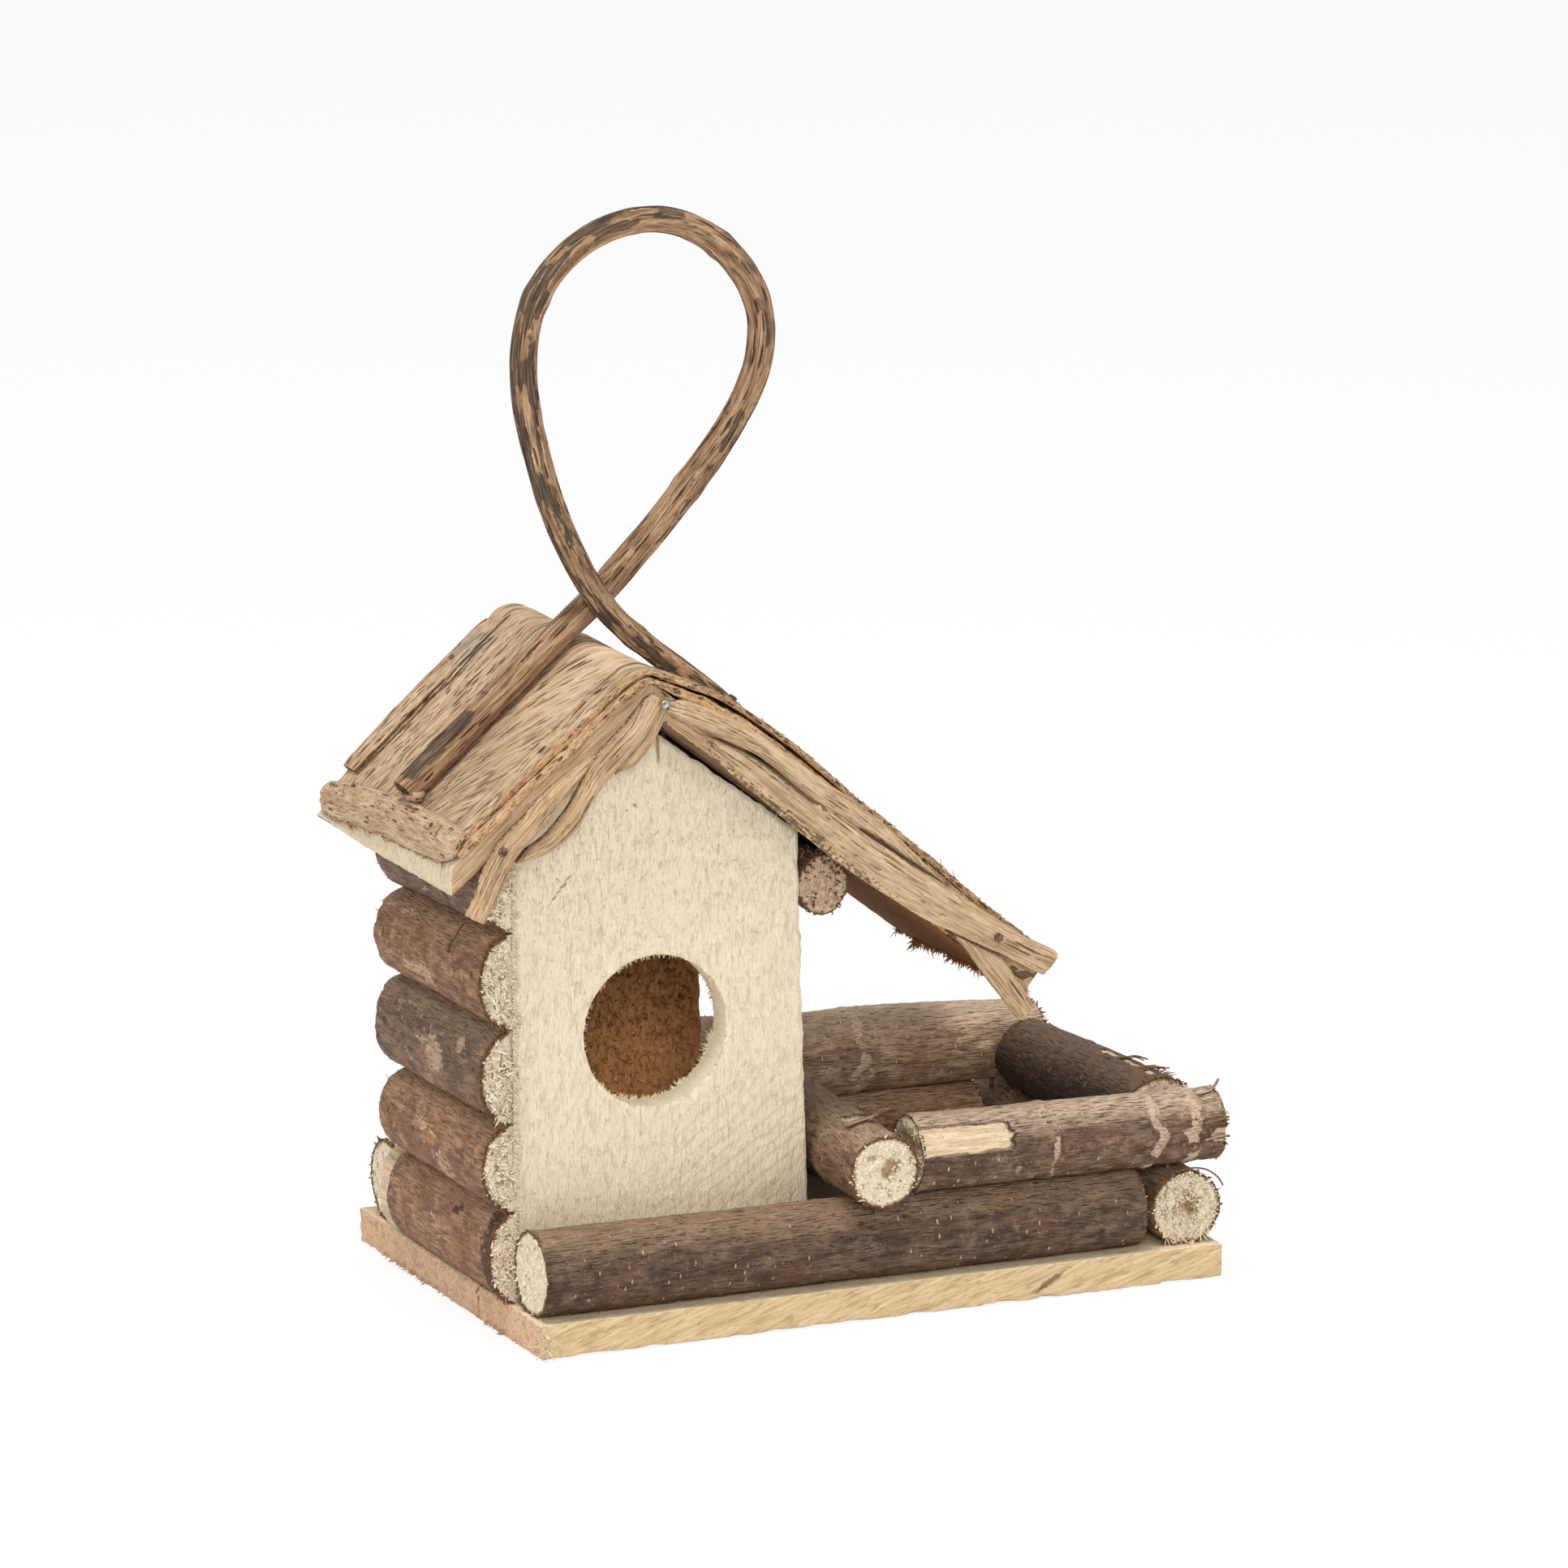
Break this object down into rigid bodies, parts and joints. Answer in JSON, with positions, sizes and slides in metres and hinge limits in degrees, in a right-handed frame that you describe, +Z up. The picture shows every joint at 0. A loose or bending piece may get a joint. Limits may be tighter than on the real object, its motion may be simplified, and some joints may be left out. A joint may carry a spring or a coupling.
{
  "type": "birdhouse",
  "caption": "Rustic wooden birdhouse: gabled nest house with a round entrance, bark roof running down over a log-walled feeding tray, and a bent-twig hanging loop.",
  "frame": {"origin": "middle of the base board's underside", "axes": "+Z up, +X along the base from the house to the tray, -Y towards the face with the entrance hole"},
  "size_m": [0.189, 0.1122, 0.2507],
  "materials": {
    "sawn_pine": "rough sawn",
    "bark_log": "natural bark",
    "roof_bark": "dry fibrous bark",
    "split_twig": "split and dry",
    "handle_twig": "natural bark",
    "nail_steel": "dull"
  },
  "bodies": {
    "root": {"base_board": "sawn_pine", "front_panel": "sawn_pine", "rear_panel": "sawn_pine", "left_roof_board": "sawn_pine", "right_roof_board": "sawn_pine", "wall_log_1": "bark_log", "wall_log_2": "bark_log", "wall_log_3": "bark_log", "wall_log_4": "bark_log", "wall_log_5": "bark_log", "purlin": "bark_log", "tray_front_lower": "bark_log", "tray_rear_lower": "bark_log", "tray_right_lower": "bark_log", "tray_cross_log": "bark_log", "tray_front_upper": "bark_log", "tray_rear_upper": "bark_log", "tray_right_upper": "bark_log", "lower_bark": "roof_bark", "top_bark": "roof_bark", "eave_strip": "roof_bark", "rear_strip": "roof_bark", "left_gable_twig": "split_twig", "left_hanging_twig": "split_twig", "right_gable_twig": "split_twig", "right_hanging_twig": "split_twig", "handle": "handle_twig", "base_nails": "nail_steel", "wall_brads": "nail_steel", "roof_nails": "nail_steel", "bark_tacks": "nail_steel", "trim_nails": "nail_steel", "handle_nails": "nail_steel", "tray_brads": "nail_steel"}
  },
  "joints": []
}
